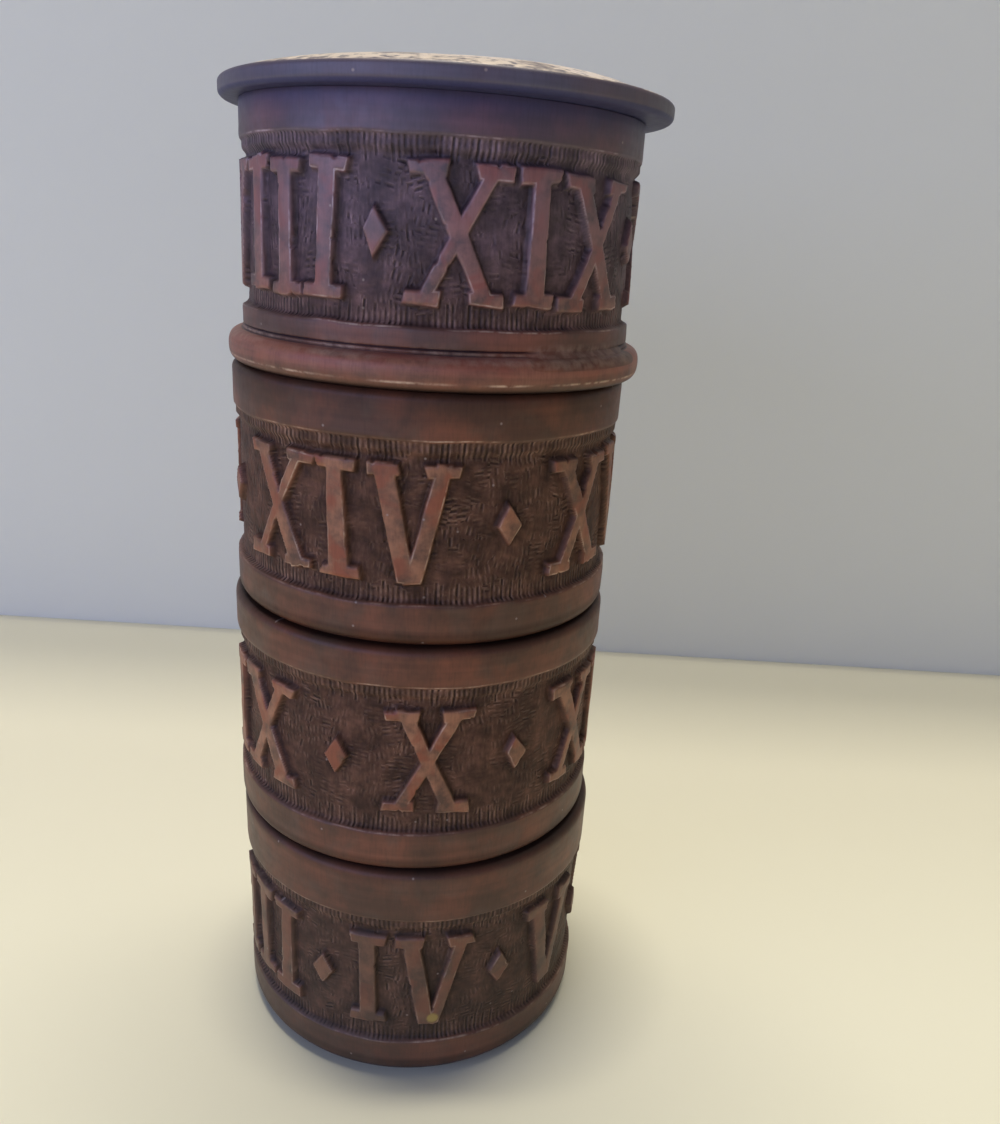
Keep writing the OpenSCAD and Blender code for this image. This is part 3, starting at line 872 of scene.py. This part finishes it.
def make_light(name, place, aim, size, power, tone):
    """A broad soft lamp: where it hangs, what it faces, its sides in metres, its power and its tone."""
    lamp = bpy.data.lights.new(name, "AREA")
    lamp.shape = "RECTANGLE"
    lamp.size, lamp.size_y = size
    lamp.energy = power
    lamp.color = linear(tone)[:3]
    made = bpy.data.objects.new(name, lamp)
    made.location = place
    made.visible_camera = False
    made.rotation_mode = "QUATERNION"
    made.rotation_quaternion = (Vector(aim) - Vector(place)).to_track_quat("-Z", "Y")
    bpy.context.scene.collection.objects.link(made)


def make_world():
    """Pale room, cooler on the side that the front of the tower faces, seen and mirrored at its own tone."""
    world = bpy.data.worlds.new("studio")
    bpy.context.scene.world = world
    world.use_nodes = True
    world.node_tree.nodes.clear()
    node = partial(add, world.node_tree)
    path = node("LightPath")
    seen = path.outputs["Is Camera Ray"]
    for ray in ("Is Glossy Ray", "Is Transmission Ray"):
        seen = node("Math", {0: seen, 1: path.outputs[ray]}, operation="MAXIMUM")
    aim = node("SeparateXYZ", {0: node("TexCoord").outputs["Generated"]})
    side = node("Math", {0: aim.outputs[0], 1: 0.6, 2: aim.outputs[1]}, operation="MULTIPLY_ADD")
    cool = node("MapRange", {0: side, 1: 0.3, 2: -0.6}, interpolation_type="SMOOTHSTEP")
    tone = node("Mix", {0: cool, 6: linear("#b9b9bd"), 7: linear("#b4b8ff")}, data_type="RGBA")
    high = node("MapRange", {0: aim.outputs[2], 1: 0.2, 2: 0.45}, interpolation_type="SMOOTHSTEP")
    tone = node("Mix", {0: high, 6: tone, 7: linear("#7d7672")}, data_type="RGBA")
    room = node("Background", {"Color": linear("#bcc4d4"), "Strength": 0.15})
    shown = node("Background", {"Color": tone, "Strength": 1.0})
    surround = node("MixShader", {0: seen, 1: room, 2: shown})
    node("OutputWorld", {0: surround})


def make_camera():
    """The photograph's view: the place, aim and lens come from a fit to the rings of the tower."""
    pitch, yaw, roll = np.radians([VIEW_PITCH, VIEW_YAW, VIEW_ROLL])
    ahead = np.array([math.sin(yaw) * math.cos(pitch), math.cos(yaw) * math.cos(pitch), -math.sin(pitch)])
    right = np.array([math.cos(yaw), -math.sin(yaw), 0])
    up = np.cross(right, ahead)
    across = math.cos(roll) * right + math.sin(roll) * up
    upright = -math.sin(roll) * right + math.cos(roll) * up
    lens = bpy.data.cameras.new("camera")
    lens.sensor_width = 36
    lens.lens = FOCAL_PIXELS / PHOTO_H * lens.sensor_width
    lens.clip_start = 0.01
    camera = bpy.data.objects.new("camera", lens)
    spot = (0, -EYE_BACK * MM, EYE_UP * MM)
    rows = [(across[n], upright[n], -ahead[n], spot[n]) for n in range(3)]
    camera.matrix_world = Matrix(rows + [(0, 0, 0, 1)])
    bpy.context.scene.collection.objects.link(camera)
    bpy.context.scene.camera = camera


make_camera()
make_studio()
make_world()
# A lamp close overhead, two far ones that light the table evenly and cast the shadow, and a window at left
make_light("ceiling", (0, 0.2, 1.0), (0, 0.1, 0), (1.0, 0.6), 1.6, LAMP_TONE)
make_light("strip", (-0.5, 0.3, 20.0), (-0.5, 0, 0), (3.4, 0.6), 1550.0, LAMP_TONE)
make_light("skylight", (0.5, 4.0, 20.0), (0, 0, 0), (15.0, 4.0), 1860.0, LAMP_TONE)
make_light("window", (-0.85, -0.85, 0.4), (0, 0, 0.15), (1.8, 0.5), 9.8, WINDOW_TONE)

# Shades of the wood. The ridges of the gouge strokes take a pale shade as painted highlight, their slots a
# dark one as painted shade, and undersides, joints and heads under an overhang a dark one as painted shade
carved_shades = {
    "stain": "#553627", "red": "#804b35", "bloom": "#5d4a3d", "face": "#583d30", "copper": "#9f6c50",
    "rust": "#884a33", "ground": "#563b2f", "crest_highlight": "#7d6152", "stroke": "#2b1d16", "rubbed": "#c0a28a",
    "grime": "#160e0c",
}
# Cooler, bluer shades up the top tier, a painted reflection of cool light, with bluish painted shade under
# the lid
cool_reflection_shades = carved_shades | {
    "stain": "#46333d", "red": "#6a434a", "bloom": "#584a5c", "face": "#4e3d43", "copper": "#845b5d",
    "rust": "#7e4a4a", "ground": "#57464e", "crest_highlight": "#75626b", "stroke": "#2d2429", "rubbed": "#b09ca4",
    "grime": "#2e3256",
}
# The lid keeps the cooler shades all over as painted reflection; its pale worn tone is partly a painted
# reflection on the dome, and it has bluish painted shade under the rim
lid_shades = cool_reflection_shades | {
    "stain": "#474252", "red": "#51434f", "bloom": "#535062", "rubbed": "#e6d6bf", "grime": "#33345a",
}
waxed = stained_mahogany("carved_stained_mahogany", carved_shades, cool_reflection_shades, (0.35, 0.65), 0.0)
lid_wax = stained_mahogany("turned_stained_mahogany", lid_shades, lid_shades, (0.6, 0.6), 0.2)
bare = bare_mahogany("bare_mahogany")

for number, tier_name in enumerate(TIERS):
    cup = make_cup(tier_name, 1000 + 100 * number)
    cup.data.materials.append(waxed)
    cup.data.materials.append(bare)
    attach(cup, tier_name)
    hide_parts(tier_name)

lid = make_lid(2000)
lid.data.materials.append(lid_wax)
lid.data.materials.append(bare)
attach(lid, "lid")
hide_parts("lid")

bpy.context.scene.view_settings.view_transform = "Standard"

bpy.context.view_layer.update()
